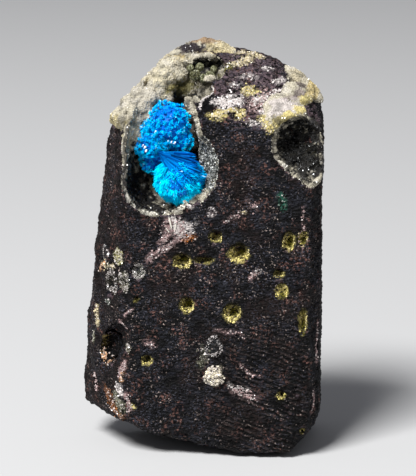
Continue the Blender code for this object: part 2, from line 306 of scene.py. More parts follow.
# %% Marks on the sawn front
# Both ends of a smear as x and z, its half width, its colour, how strongly it covers, and how
# many grains are strewn over it.
FRONT_MARKS = [
    ((-4.6, 43.4), (-2.4, 41.8), 1.5, PINK, 0.8, 230),
    ((-4.3, 44.6), (-3.2, 41.6), 0.4, SUGAR, 1.0, 120),
    ((-1.0, 42.9), (-3.4, 42.6), 1.2, SUGAR, 0.6, 160),
    ((-5.0, 42.2), (-6.6, 40.0), 0.7, PINK, 0.6, 110),
    ((-3.0, 40.8), (-8.8, 36.8), 0.6, PINK, 0.7, 150),
    ((-0.4, 41.4), (-2.4, 40.4), 0.5, RUST, 0.4, 50),
    ((-1.5, 47.0), (-0.5, 46.7), 0.4, SUGAR, 0.5, 24),
    ((8.2, 45.9), (8.7, 45.8), 0.3, CREAM, 0.7, 14),
    ((9.4, 47.6), (11.2, 46.8), 0.7, PINK, 0.25, 30),
    ((5.2, 44.0), (7.4, 45.6), 0.6, PINK, 0.25, 24),
    ((11.0, 35.4), (9.8, 33.4), 0.4, PINK, 0.5, 40),
    ((6.8, 13.0), (10.8, 11.2), 0.9, PINK, 0.45, 130),
    ((6.0, 14.0), (9.4, 12.6), 0.5, SUGAR, 0.4, 70),
    ((7.4, 17.6), (11.8, 15.4), 0.35, PINK, 0.35, 30),
    ((3.6, 24.0), (8.6, 23.0), 0.5, PINK, 0.35, 30),
    ((1.0, 17.6), (1.8, 20.4), 0.9, GREY_GREEN, 0.4, 60),
    ((15.2, 49.4), (15.9, 47.0), 0.7, TEAL, 1.0, 12),
    ((-17.2, 11.2), (-15.4, 8.4), 1.1, srgb(124, 74, 30), 0.9, 200),
    ((-16.0, 8.0), (-13.8, 6.9), 0.7, srgb(136, 84, 34), 0.9, 110),
    ((-14.6, 12.8), (-14.0, 11.2), 0.7, SUGAR, 0.7, 120),
    ((-15.0, 10.6), (-13.8, 8.2), 0.8, GREY_GREEN, 0.8, 150),
    ((-13.0, 11.4), (-12.4, 8.6), 0.6, PINK, 0.6, 110),
    ((-12.4, 9.6), (-11.4, 8.8), 0.3, STRAW, 0.8, 24),
    ((-13.2, 17.4), (-14.1, 14.8), 0.6, PINK, 0.8, 130),
    ((-13.6, 15.2), (-14.0, 14.2), 0.45, APRICOT, 0.8, 50),
    ((-18.0, 18.4), (-17.0, 16.2), 0.45, APRICOT, 1.0, 120),
    ((-17.0, 16.2), (-15.6, 16.9), 0.35, APRICOT, 1.0, 70),
    ((-14.4, 24.7), (-12.9, 23.6), 0.4, PINK, 0.9, 70),
    ((-13.2, 26.2), (-11.8, 27.4), 0.28, PINK, 0.9, 44),
    ((-9.6, 21.4), (-7.8, 20.8), 0.7, PINK, 0.3, 40),
    ((-17.6, 34.4), (-15.4, 34.9), 0.55, CREAM, 1.0, 150),
    ((-18.2, 33.6), (-17.2, 34.6), 0.45, APRICOT, 1.0, 60),
    ((-19.2, 26.4), (-19.0, 23.2), 0.45, CREAM, 0.9, 80),
    ((-20.0, 21.4), (-20.0, 19.0), 0.3, GREY_GREEN, 0.8, 50),
    ((-19.6, 13.6), (-19.2, 10.2), 0.3, PINK, 0.7, 60),
    ((21.9, 25.4), (21.8, 17.6), 0.35, PINK, 0.6, 110),
    ((21.2, 12.8), (20.9, 8.2), 0.35, PINK, 0.6, 60),
    ((19.2, 47.0), (19.4, 38.0), 0.25, PINK, 0.4, 50),
]
print("marks on the front:", len(FRONT_MARKS))

# %% Marks on the broken top
# The same, with the ends as points near the surface.
TOP_MARKS = [
    ((9.0, -5.2, 66.6), (9.4, -4.8, 66.8), 1.25, SAND, 1.0, 230),
    ((3.6, -8.5, 65.2), (6.4, -6.6, 66.0), 1.2, SUGAR, 0.95, 380),
    ((4.6, -9.4, 64.4), (6.9, -7.6, 65.2), 1.1, SUGAR, 0.95, 320),
    ((2.8, -11.4, 63.2), (4.8, -10.9, 63.2), 1.0, SAND, 1.0, 210),
    ((4.2, -10.4, 64.0), (6.4, -9.4, 64.2), 0.8, SAND, 1.0, 190),
    ((7.8, -9.6, 63.8), (7.3, -10.7, 63.0), 0.8, SAND, 0.95, 120),
    ((10.6, -7.6, 64.4), (12.8, -4.2, 66.3), 1.6, PINK, 0.85, 330),
    ((11.2, -6.4, 65.2), (13.8, -5.2, 65.7), 1.3, SUGAR, 0.85, 330),
    ((12.0, -10.0, 62.6), (13.4, -11.2, 61.3), 1.1, SAND, 0.95, 230),
    ((11.8, -8.8, 63.6), (12.9, -7.2, 64.4), 1.1, SUGAR, 0.9, 210),
    ((13.4, -3.6, 66.5), (16.6, -1.4, 68.0), 0.55, SUGAR, 0.95, 170),
    ((9.6, -7.0, 65.0), (10.8, -5.8, 65.6), 0.4, SUGAR, 0.9, 50),
    ((8.7, 3.4, 72.4), (10.6, 4.2, 72.0), 0.8, CREAM, 0.95, 140),
    ((7.4, 1.4, 71.5), (8.5, 2.4, 71.7), 0.9, CREAM, 0.9, 150),
    ((5.4, 0.0, 70.8), (7.3, 0.9, 71.1), 0.8, CREAM, 0.8, 150),
    ((4.2, -1.0, 70.4), (5.2, -0.2, 70.8), 0.9, OLIVE, 0.9, 130),
    ((6.2, 2.7, 72.6), (7.6, 3.6, 72.6), 0.6, CREAM, 0.8, 70),
    ((11.0, 0.8, 70.2), (12.8, 2.0, 70.4), 0.6, SUGAR, 0.5, 44),
    ((13.4, -1.2, 68.0), (15.0, -0.2, 68.3), 0.7, SUGAR, 0.6, 80),
    ((7.6, -2.4, 69.0), (9.6, -1.4, 68.8), 0.8, SUGAR, 0.3, 44),
    ((5.6, -4.4, 68.0), (7.6, -4.0, 67.8), 0.6, SUGAR, 0.25, 30),
    ((9.4, -10.9, 62.0), (11.8, -10.9, 61.6), 0.6, SUGAR, 0.5, 80),
    ((2.6, -3.6, 67.7), (2.0, -6.4, 66.9), 0.28, SUGAR, 1.0, 70),
    ((2.0, -6.4, 66.9), (0.8, -9.0, 66.0), 0.28, SUGAR, 1.0, 70),
    ((0.8, -9.0, 66.0), (0.4, -11.0, 64.2), 0.28, SUGAR, 1.0, 60),
]
# The nose of rock between the main hollow and the marks is nearly black, as a blot: its centre,
# its reach along x, y and z, its colour and how strongly it covers.
BLACK_NOSE = ((2.0, -9.2, 64.8), (2.4, 4.6, 2.8), BASALT, 1.0)
# A small hole in a sandy mark, its reach, and how far around it no grain stands.
HOLE = (6.4, -10.7, 63.1)
HOLE_REACH = (0.6, 0.9, 0.6)
HOLE_CLEAR = 0.7
print("marks on the top:", len(TOP_MARKS))

# %% Fillings on the front
# Pits full of mineral: x, z, half width, half height, colour, grains, and the share of the oval,
# from its middle, that has no grains.
FRONT_FILLINGS = [(3.2, 15.4, 1.7, 1.8, srgb(222, 212, 184), 420, 0.0),
                  (3.2, 20.9, 1.5, 1.9, srgb(52, 53, 55), 130, 0.6),
                  (2.8, 45.8, 0.8, 1.0, srgb(92, 84, 86), 70, 0.4),
                  (11.3, 35.0, 0.6, 0.5, srgb(56, 48, 48), 36, 0.6),
                  (-14.4, 36.9, 0.95, 1.5, srgb(150, 146, 84), 120, 0.0),
                  (-10.5, 34.6, 1.2, 1.6, srgb(96, 98, 88), 150, 0.3),
                  (-13.2, 32.6, 1.05, 1.9, srgb(100, 98, 80), 160, 0.2),
                  (-15.8, 31.9, 1.25, 2.2, srgb(48, 46, 36), 150, 0.55),
                  (-17.1, 36.6, 0.65, 1.6, srgb(52, 50, 46), 60, 0.6),
                  (-16.6, 28.0, 0.5, 0.6, srgb(84, 92, 84), 26, 0.5),
                  (-12.5, 20.1, 0.6, 0.85, srgb(104, 98, 74), 50, 0.4)]
print("fillings:", len(FRONT_FILLINGS))

# %% [markdown]
# A mark on the front is listed by how it looks from the front, so a ray from there finds its ends
# on the rock. The colour of a mark fades with the distance from the line between its ends. Noise
# bends that line and frays its edge, so that no mark ends in a clean oval.

# %% The marks' ends as points on the rock
def on_rock_front(x, z):
    """The place on the rock straight behind a point of its front view."""
    return np.array(rock_tree.ray_cast(Vector((x, -40, z)) * MM, Vector((0, 1, 0)))[0]) / MM


MARKS = [(on_rock_front(*start), on_rock_front(*end), *rest) for start, end, *rest in FRONT_MARKS]
MARKS += [(np.array(start), np.array(end), *rest) for start, end, *rest in TOP_MARKS]
lengths = [np.linalg.norm(end - start) for start, end, *_ in MARKS]
print("the longest mark is", round(max(lengths), 1), "mm long")


# %% Smears and blots with frayed edges
def bend(places):
    """Shifts that turn straight marks into winding ones."""
    return 0.5 * np.stack([waves(places, 2.2, 31.0), waves(places, 2.2, 32.0),
                           waves(places, 2.2, 33.0)], axis=1)


def smeared(colours, places, rough_edge, start, end, width, colour, cover):
    """Lay a colour over the points within a ragged distance of a short line."""
    along = end - start
    share = np.clip((places - start) @ along / (along @ along), 0, 1)
    far = np.linalg.norm(places - start - share[:, None] * along, axis=1) / width
    return mix(colours, colour, cover * (1 - ramp(far + 0.9 * rough_edge, 0.75, 1.2)))


def blotted(colours, places, rough_edge, blots):
    """Lay each blot, an oval with a ragged edge, over the colours of the points inside it."""
    for centre, reach, colour, cover in blots:
        inside = np.linalg.norm((places - centre) / reach, axis=1) + 0.5 * rough_edge
        colours = mix(colours, colour, cover * (1 - ramp(inside, 0.75, 1.1)))
    return colours


# %% [markdown]
# A pit is lit from above, so the black of its depth is at the top, and the straw-coloured lining
# shows as a crescent at the bottom. A fuller pit has a wider crescent. The same shares colour the
# rock inside a pit and, later, the beads of its lining.

# %% The shades of a lined pit
def pit_shares(places, rough_edge, x, z, half_width, half_height, fullness):
    """The shares of straw and black in a pit, and the share that is 1 all over its inside."""
    across = (places[:, 0] - x) / half_width
    height = (places[:, 2] - z) / half_height
    inside = np.hypot(across, height) + 0.15 * rough_edge
    from_below = np.hypot(across - 0.1, height - 0.55 + 0.9 * fullness) + 0.2 * rough_edge
    straw = ramp(from_below, 0.35, 0.7) * ramp(-height, -0.5 - 0.6 * fullness, -0.1)
    straw = straw * (0.4 + 0.6 * min(1, 3 * fullness))
    black = ramp(height - 0.2 * across, -0.5 + 0.8 * fullness, -0.1 + 0.8 * fullness)
    return straw, black, 1 - ramp(inside, 0.95, 1.08)


# %% Painting the rock
# Slaty patches all over, brown on the left side, purplish on the broken slope at the top, then
# the marks.
out = outward_of(rock)
top_slope = ramp(out[:, 2], 0.4, 0.65) * ramp(-out[:, 1], 0.1, 0.3)
left_side = ramp(-out[:, 0], 0.3, 0.6)
ragged = waves(at, 1.1, 8.0) + 0.7 * waves(at, 0.5, 9.0)
skin = np.tile(BASALT, (len(at), 1))
skin = mix(skin, SLATE, ramp(waves(at * (0.7, 1, 1.4), 1.3, 12.0), -0.05, 0.35))
skin = mix(skin, BROWN, 0.8 * np.maximum(left_side, ramp(waves(at, 6.0, 6.0), 0.05, 0.4)))
skin = mix(skin, PURPLE, top_slope * (0.8 + 0.4 * waves(at, 1.2, 7.0)))
skin = blotted(skin, at, 0.5 * ragged, [BLACK_NOSE])
bent = at + bend(at)
for start, end, width, colour, cover, _ in MARKS:
    skin = smeared(skin, bent, 0.5 * ragged, start, end, width, colour, cover)
# The small hole in a sandy mark is painted black, as painted shade.
skin = blotted(skin, at, 0.4 * ragged, [(HOLE, HOLE_REACH, SHADE_BLACK, 1.0)])
print("points on the broken slope:", np.count_nonzero(top_slope > 0.5))

# %% Painting the pits, the fillings and the pocket
for x, z, half_width, half_height, fullness in YELLOW_PITS:
    straw, black, in_pit = pit_shares(at, ragged, x, z, half_width, half_height, fullness)
    in_pit = in_pit * (at[:, 1] < ON_FRONT)
    skin = mix(skin, DEEP_OLIVE, in_pit)
    # Painted shade: black at the top of each pit, where the light does not reach.
    skin = mix(skin, SHADE_BLACK, in_pit * black)
    skin = mix(skin, STRAW, in_pit * straw)
for x, z, half_width, half_height, colour, _, _ in FRONT_FILLINGS:
    inside = np.hypot((at[:, 0] - x) / half_width, (at[:, 2] - z) / half_height) + 0.25 * ragged
    skin = mix(skin, colour, (1 - ramp(inside, 0.85, 1.05)) * (at[:, 1] < ON_FRONT))
across, reach = in_pocket(at)
# The pocket's inside is painted black, as painted shade. Low on its left wall it is gold.
in_hole = (1 - ramp(reach + 0.08 * ragged, 0.95, 1.05)) * ramp(-at[:, 1], -2, -1)
skin = mix(skin, SHADE_BLACK, in_hole)
lower_left = ramp(-across + 0.25 * ragged, 0.4, 0.8) * (at[:, 2] < GOLD_BELOW)
skin = mix(skin, GOLD, in_hole * 0.8 * lower_left)
paint(rock, "skin", skin)
saw_layer = rock.data.attributes.new("saw_marks", "FLOAT", "POINT")
saw_layer.data.foreach_set("value", low_right)
print("points with saw marks:", np.count_nonzero(low_right > 0.5))

# %% [markdown]
# A hollow's crust stands a hair clear of the rock in the CAD, so that no two solids overlap. On
# the real thing they have grown together. The fine copy closes this gap: where a crust comes near
# the rock, its points go just under the rock's surface. Elsewhere it gets the packed, round beads
# that zeolite crusts grow in. Thick banks of larger lumps lie at the upper left of the main
# hollow. They are balls in loose rows, which the voxel remesh grows together with the crust.

# %% Where the crusts melt into the rock
# How near the rock a crust's points are drawn to it, and how far under its surface they go.
MEETING = 0.55
SUNK = 0.1
# Gaps are measured up to this width.
FAR = 2.4
# How much thinner a crust is at the front.
THINNED = 0.5
# Places where the crust's edge melts into the rock: middle, reach and how much farther it melts.
MELTED = [((3.4, -1.4, 70.8), (3.0, 3.2, 2.4), 1.6),
          ((1.6, -6.6, 66.8), (2.6, 4.6, 2.4), 0.9)]
# The middle of each hollow, as x against height.
MAIN_MIDDLE = ((48, 50.5, 57, 66, 70, 74), (-5.5, -5.5, -5.6, -4.0, 0.2, 1.0))
SIDE_MIDDLE = ((50, 53, 57, 62), (21.6, 20.8, 18.6, 18.0))
print("places where a crust melts into the rock:", len(MELTED))

# %% The banks of larger lumps
# Rows of lumps: both ends of a row, the lumps' radius and their number.
BANK_ROWS = [((-11.9, -7.5, 58.4), (-4.9, -0.6, 69.2), 2.0, 7),
             ((-12.6, -8.4, 60.2), (-5.6, -1.4, 70.4), 1.9, 7),
             ((-13.2, -8.6, 61.6), (-4.2, 0.6, 71.8), 1.7, 8)]
# Each lump of the banks, as its centre and half widths: single ones first, then the rows.
BANKS = [((-3.6, 0.6, 66.0), (2.4, 1.8, 1.5)), ((-2.4, 1.4, 67.4), (1.3, 1.4, 1.2)),
         ((0.6, 1.6, 68.6), (1.4, 1.6, 1.1))]
for start, end, radius, count in BANK_ROWS:
    for middle in np.linspace(start, end, count):
        BANKS.append((middle + dice.normal(0, 0.25, 3), radius * dice.uniform(0.8, 1.15, 3)))
print("lumps in the banks:", len(BANKS))


# %% Crusts that meet the rock
def grow_onto(obj, host, bump):
    """Sink the points near the host into it, raise the others, and return how near each was."""
    places = points_of(obj)
    outward = outward_of(obj)
    moved = places + outward * bump[:, None]
    # Near the front the crusts are drawn to the rock from a little farther off.
    meeting = MEETING + 0.3 * ramp(-places[:, 1], 10.4, 11.4)
    for middle, reach, farther in MELTED:
        inside = np.linalg.norm((places - middle) / reach, axis=1)
        meeting = np.maximum(meeting, MEETING + farther * (1 - ramp(inside, 0.7, 1.1)))
    gap = np.full(len(places), FAR)
    for index, place in enumerate((places * MM).tolist()):
        spot, normal, _, distance = host.find_nearest(place, FAR * MM)
        if spot is not None:
            gap[index] = distance / MM
            if gap[index] < meeting[index]:
                moved[index] = spot / MM - normal * SUNK
    move_points(obj, moved)
    return gap


def crust(node, name, voxel, big, small, middle, banks=()):
    """A crust of packed beads, big and small ones by the given heights, with a thin rim."""
    obj = fine_copy(node, name, voxel, banks)
    places = points_of(obj)
    outward = outward_of(obj)
    bump = (big * (beads(places, 1.5, 1.0) - 0.5) + small * (beads(places, 0.6, 2.0) - 0.5)
            + 0.8 * big * waves(places, 2.4, 5.0))
    to_middle = np.interp(places[:, 2], *middle) - places[:, 0]
    faces_in = ramp(outward[:, 0] * np.sign(to_middle), 0.1, 0.5)
    at_front = ramp(-places[:, 1], 10.4, 11.6)
    bump = bump * (1 - 0.8 * at_front) - THINNED * at_front * faces_in
    return obj, grow_onto(obj, rock_tree, bump)


# %% Both crusts
main_crust, main_gap = crust("vug_crust", "hollow_crust", 0.24, 0.6, 0.22, MAIN_MIDDLE, BANKS)
side_crust, side_gap = crust("side_vug_crust", "side_hollow_crust", 0.22, 0.3, 0.2, SIDE_MIDDLE)

# %% [markdown]
# The crusts are cream outside, with sandy, olive and mauve zones. Painted shade makes them nearly
# black deep inside the hollows, in the recess and under the crest, and olive and dark brown between
# the banks and the crystals. A zone is a blot, and a later blot lies over an earlier one. Where the
# saw cut through a crust, its edge shows on the front as a thin, bright rim, with painted shade on
# the crust behind it. The gap that was measured above tells which points are near enough to the
# rock to belong to that rim.

# %% The zones of the crusts
PALE = srgb(176, 169, 150)
# Painted shade in the creases between the beads.
CREASE_SHADE = srgb(92, 84, 58)
RIM = srgb(226, 221, 208)
# Painted shade on the crust behind the rim.
SHADE_BEHIND_RIM = srgb(38, 35, 32)
# Painted shade, nearly black, deep in the hollows.
HOLLOW_SHADE = srgb(11, 10, 12)
CHALK = srgb(196, 190, 178)
# Each blot's centre, its reach along x, y and z, its colour and how strongly it covers.
MAIN_BLOTS = [
    ((-9.4, -4.6, 64.0), (4.6, 5.2, 5.4), srgb(170, 164, 151), 0.85),
    ((-12.0, -7.6, 59.6), (1.3, 2.0, 1.2), srgb(112, 98, 88), 0.6),
    # Painted shade: the back wall behind the crystals, and below it the floor of the hollow, nearly
    # black.
    ((-5, -0.5, 55), (9, 6.5, 11), srgb(38, 35, 32), 0.95),
    ((-9.6, -8, 49.8), (7.4, 5.6, 7.8), HOLLOW_SHADE, 1.0),
    ((-6.6, -9.4, 46.4), (1.6, 1.8, 1.0), srgb(95, 84, 74), 0.8),
    ((2.2, -8.6, 54.8), (3.6, 3.6, 7.0), srgb(74, 80, 78), 1.0),
    ((-6.6, -1.8, 67.8), (3.6, 4.0, 3.2), srgb(196, 186, 158), 0.85),
    # Painted shade between the banks and the crystals: olive on the yellow crust, then dark brown.
    ((-3.9, -0.4, 66.6), (3.0, 4.4, 1.9), srgb(104, 98, 50), 0.85),
    ((-5.6, 0, 63.6), (4.5, 4.0, 1.6), srgb(60, 54, 40), 0.8),
    ((-10.0, -3.0, 59.6), (2.6, 3.2, 2.0), srgb(96, 90, 72), 0.7),
    # Painted shade in the recess above the hollow.
    ((0.9, 0.6, 70.4), (3.2, 3.8, 1.9), HOLLOW_SHADE, 1.0),
    ((3.2, -1.6, 70.6), (2.2, 2.6, 2.0), srgb(104, 98, 56), 0.95),
    ((4.8, -0.6, 71.4), (1.4, 2.4, 1.6), srgb(84, 70, 66), 0.95),
    ((3.4, -4.2, 68.0), (1.2, 1.6, 0.9), srgb(60, 50, 50), 0.9),
    ((2.6, 3.0, 72.6), (2.6, 2.2, 0.9), srgb(196, 180, 136), 0.9),
    ((-0.6, 2.2, 73.0), (2.2, 1.8, 0.6), srgb(190, 174, 136), 0.8),
    ((2.0, -6.0, 66.4), (1.6, 2.0, 1.6), srgb(120, 114, 84), 0.7),
    ((-0.4, 4.6, 75.0), (4.6, 3, 1.1), srgb(136, 110, 82), 0.9),
    # Painted shade under the crest.
    ((-2.2, 2.4, 73.4), (3.2, 2.6, 1.2), srgb(36, 29, 34), 1.0),
    ((-3.6, 1.0, 72.4), (1.2, 2.0, 0.7), srgb(70, 62, 60), 0.6),
    ((-15, -8, 61.3), (2.6, 3, 2.4), srgb(186, 172, 126), 0.8),
    ((-5.0, 0.6, 71.8), (2.6, 3.0, 0.9), srgb(182, 160, 100), 0.6),
    ((3.4, 3.4, 73.4), (3.0, 2.6, 1.2), srgb(186, 172, 132), 0.7),
    ((-8.5, -2.8, 65.0), (1.2, 3.2, 2.3), srgb(116, 107, 108), 0.85),
    ((-5.9, -1.0, 66.9), (1.5, 3.0, 1.5), srgb(146, 136, 82), 0.8),
    # Olive again, as painted shade on the yellow crust.
    ((-3.9, -0.6, 66.3), (1.5, 3.2, 1.3), srgb(90, 83, 42), 0.85),
    ((-5.0, -0.6, 71.0), (2.0, 2.6, 1.2), srgb(206, 197, 176), 0.7),
]
SIDE_BLOTS = [
    # Painted shade, nearly black, inside the side hollow.
    ((18.4, -6.4, 56.4), (6.0, 6.2, 7.4), srgb(7, 7, 6), 1.0),
    ((19.6, -10.2, 53.6), (3.0, 2.2, 1.8), srgb(34, 33, 31), 0.9),
    # Painted shade on the side hollow's right wall.
    ((22.0, -11.0, 56.6), (1.6, 3.4, 6.0), srgb(22, 18, 18), 1.0),
    ((15.4, -7.4, 64.2), (3.6, 4.4, 1.6), srgb(196, 187, 182), 0.9),
    ((16.6, -6.0, 65.8), (1.4, 1.2, 0.8), PURPLE, 0.4),
    ((18.2, -4.2, 66.6), (1.2, 1.2, 0.9), PURPLE, 0.6),
    ((14.6, -11.0, 61.9), (1.6, 1.5, 1.0), SAND, 0.95),
    ((16.4, -9.6, 62.9), (1.7, 1.5, 1.0), SAND, 0.95),
    ((18.2, -7.4, 63.7), (1.7, 1.7, 1.0), SAND, 0.95),
    ((19.4, -4.6, 65.0), (1.4, 2.0, 1.1), SAND, 0.9),
    # Painted shade high in the side hollow.
    ((21.2, -9.0, 61.6), (2.0, 3.4, 2.6), srgb(20, 17, 17), 1.0),
    ((17.4, -0.2, 68.9), (1.5, 2.2, 1.6), srgb(172, 162, 136), 0.9),
    ((20.2, -1.4, 66.4), (1.6, 2.6, 1.8), srgb(186, 168, 116), 0.9),
    ((18.4, -2.4, 67.6), (1.2, 1.6, 0.8), srgb(80, 66, 68), 0.7),
]
print("zones:", len(MAIN_BLOTS), "in the main hollow and", len(SIDE_BLOTS), "in the side hollow")

# %% Painting the crusts
# The rim lies in front of this distance from the middle of the block.
FRONT_RIM = 11.9


def paint_crust(obj, gap, blots):
    """Cream with its zones, then painted shade in the creases, then the bright rim on the front
    with painted shade behind it.
    """
    places = points_of(obj)
    outward = outward_of(obj)
    rough_edge = waves(places, 1.3, 8.0) + 0.8 * waves(places, 0.5, 9.0)
    colours = np.tile(PALE, (len(places), 1))
    colours = mix(colours, CHALK, 0.7 * ramp(waves(places, 1.8, 3.0), 0.1, 0.5))
    colours = blotted(colours, places, rough_edge, blots)
    # Painted shade in the creases between the beads, and a little painted highlight on their tops.
    colours = colours * (0.52 + 0.54 * ramp(beads(places, 1.5, 1.0), 0.25, 0.75))[:, None]
    colours = mix(colours, CREASE_SHADE, 0.15 * ramp(-beads(places, 0.6, 2.0), -0.6, -0.1))
    # The rim is bright next to the rock. Away from the rock, the crust behind the rim is painted
    # dark, as painted shade.
    forward = -places[:, 1] + 0.3 * waves(places, 0.8, 4.0)
    on_rim = ramp(forward, FRONT_RIM - 0.15, FRONT_RIM + 0.1)
    near_rock = 1 - ramp(gap + 0.2 * rough_edge, 0.95, 1.1)
    behind = ramp(-places[:, 1], 9.8, 11.2) * (1 - near_rock) * (outward[:, 1] < -0.2)
    colours = mix(colours, SHADE_BEHIND_RIM, 0.85 * behind)
    colours = mix(colours, RIM, on_rim * near_rock * (0.9 + 0.3 * np.clip(rough_edge, -1, 0)))
    paint(obj, "skin", colours)
    return colours


main_colours = paint_crust(main_crust, main_gap, MAIN_BLOTS)
side_colours = paint_crust(side_crust, side_gap, SIDE_BLOTS)
print("points that touch the rock:", np.count_nonzero(main_gap < MEETING))

# %% [markdown]
# Cavansite grows as balls of thin, pointed blades that spread from a centre. A hair system could
# strew them, but plain mesh stays the same wherever the part is used. So one blade is modelled
# from two cones with four sides, a shaft and a point. Thousands of copies of it are then set out
# with arrays and joined to one mesh.

# %% One blade
def blade_template():
    """A flattened, pointed blade, one unit long, that stands on the origin."""
    bm = bmesh.new()
    shaft = bmesh.ops.create_cone(bm, cap_ends=False, segments=4, radius1=0.35, radius2=0.5,
                                  depth=0.75)
    bmesh.ops.translate(bm, vec=(0, 0, 0.375), verts=shaft["verts"])
    point = bmesh.ops.create_cone(bm, cap_ends=False, segments=4, radius1=0.5, radius2=0.04,
                                  depth=0.25)
    bmesh.ops.translate(bm, vec=(0, 0, 0.875), verts=point["verts"])
    bmesh.ops.remove_doubles(bm, verts=bm.verts, dist=0.06)
    bmesh.ops.scale(bm, vec=(1, 0.5, 1), verts=bm.verts)
    bmesh.ops.recalc_face_normals(bm, faces=bm.faces)
    bmesh.ops.triangulate(bm, faces=bm.faces)
    return bm


# %% Many copies as one mesh
def joined_copies(name, template, spots, directions, sizes, tints):
    """One mesh of many copies of a template whose +Z follows each direction."""
    bmesh.ops.triangulate(template, faces=template.faces)
    shape = np.array([v.co for v in template.verts])
    triangles = np.array([[v.index for v in f.verts] for f in template.faces])
    z = directions / np.linalg.norm(directions, axis=1, keepdims=True)
    side = np.where(np.abs(z[:, 2:]) < 0.9, (0.0, 0.0, 1.0), (1.0, 0.0, 0.0))
    x = np.cross(side, z)
    x /= np.linalg.norm(x, axis=1, keepdims=True)
    y = np.cross(z, x)
    # Each copy is turned about its own direction at random.
    turn = dice.uniform(0, 2 * np.pi, (len(z), 1))
    x, y = x * np.cos(turn) + y * np.sin(turn), y * np.cos(turn) - x * np.sin(turn)
    axes = np.stack([x, y, z], axis=1) * sizes[:, :, None]
    corners = np.einsum("nk,mkj->mnj", shape, axes) + spots[:, None, :]
    steps = len(shape) * np.arange(len(spots))
    mesh = bpy.data.meshes.new(name)
    mesh.from_pydata(corners.reshape(-1, 3) * MM, [],
                     (triangles[None] + steps[:, None, None]).reshape(-1, 3))
    layer = mesh.attributes.new("along", "FLOAT", "POINT")
    layer.data.foreach_set("value", np.tile(shape[:, 2], len(spots)))
    obj = bpy.data.objects.new(name, mesh)
    bpy.context.scene.collection.objects.link(obj)
    paint(obj, "skin", np.repeat(tints, len(shape), axis=0))
    template.free()
    print(name, "has", len(spots), "copies and", len(mesh.polygons), "faces")
    return obj


# %% [markdown]
# The upper cluster is several balls that have grown together. From close up, each ball is covered
# in knobs, and each knob is a small bunch of blades. The blades vary from azure to cyan, and a few
# are nearly white, as painted glints. More blades are coloured white where faces flash, as painted
# highlights.

# %% The blues, and directions all around a ball
AZURE = srgb(0, 152, 238)
CYAN = srgb(0, 224, 255)
FAN_BLUE = srgb(0, 66, 146)
# Nearly white, for blades painted as glints.
GLINT = srgb(200, 240, 255)


def around(count):
    """Evenly spread directions over a ball."""
    step = np.arange(count) + 0.5
    height = 1 - 2 * step / count
    turn = step * math.pi * (3 - math.sqrt(5))
    ring = np.sqrt(1 - height ** 2)
    return np.stack([ring * np.cos(turn), ring * np.sin(turn), height], axis=1)


def tinted(shades):
    """Azure to cyan by a shade for each blade, with a few nearly white ones as painted glints."""
    colours = mix(np.tile(AZURE, (len(shades), 1)), CYAN, np.clip(shades, 0, 1))
    return mix(colours, GLINT, 0.9 * (dice.random(len(shades)) < 0.015))


# %% The upper cluster
# The centre, the radius and the number of knobs of each rosette.
UPPER_ROSETTES = [
    ((-5.4, -7.7, 61.0), 4.1, 170),
    ((-8.6, -7.6, 59.6), 2.4, 70),
    ((-9.1, -7.2, 57.3), 3.0, 105),
    ((-2.9, -8.2, 58.0), 2.3, 60),
    ((-6.4, -8.4, 57.9), 2.2, 50),
    ((-9.0, -5.4, 53.4), 2.1, 44),
]
BLADES_PER_KNOB = 34
# A knob or blade that points back more than this is hidden, and is left out.
BACKWARD = 0.35
# Painted highlights: white blades at these places on the cluster, where crystal faces flash.
FLASHES = [(-7.5, -10.6, 59.9), (-9.9, -9.6, 57.2), (-9.5, -9.7, 56.9), (-9.3, -10.0, 56.3),
           (-5.3, -10.2, 58.1), (-4.7, -10.2, 58.0), (-4.1, -10.1, 57.9)]
blade_spots, blade_ways, blade_sizes, blade_shades = [], [], [], []
for centre, radius, knobs in UPPER_ROSETTES:
    knob_radius = 2.1 * radius / math.sqrt(knobs)
    for way in around(knobs):
        if way[1] > BACKWARD:
            continue
        way = way + dice.normal(0, 0.06, 3)
        reach = radius - knob_radius * dice.uniform(0.75, 1.3)
        knob = np.array(centre) + way * reach
        ways = way * 1.1 + dice.normal(0, 0.5, (BLADES_PER_KNOB, 3))
        ways /= np.linalg.norm(ways, axis=1, keepdims=True)
        length = knob_radius * dice.uniform(0.8, 1.2, BLADES_PER_KNOB)
        width = dice.uniform(0.10, 0.22, BLADES_PER_KNOB)
        blade_spots.append(np.tile(knob, (BLADES_PER_KNOB, 1)))
        blade_ways.append(ways)
        blade_sizes.append(np.stack([width, width, length], axis=1))
        blade_shades.append(dice.normal(0.55, 0.25) + dice.normal(0, 0.25, BLADES_PER_KNOB))
print("knobs that can be seen:", len(blade_spots))

# %% The flashes, and the upper cluster as one mesh
flashes = len(FLASHES)
# White tints for the flashes, as painted highlights.
blade_tints = [tinted(np.concatenate(blade_shades)), np.ones((flashes, 3))]
blade_spots.append(np.array(FLASHES) + (0, -0.4, 0))
blade_ways.append(np.tile((0.5, -0.3, 0.8), (flashes, 1)))
blade_sizes.append(np.tile((0.4, 0.5, 0.6), (flashes, 1)))
upper_cluster = joined_copies("cavansite_upper", blade_template(), np.concatenate(blade_spots),
                              np.concatenate(blade_ways), np.concatenate(blade_sizes),
                              np.concatenate(blade_tints))

# %% [markdown]
# The lower cluster is one round sheaf. Its blades spread from a root at the foot of the upper
# cluster, their tips lie on a lumpy ball, and they are darker on its upper right. A fan of longer
# and broader blades, in a deeper blue, lies over the sheaf.

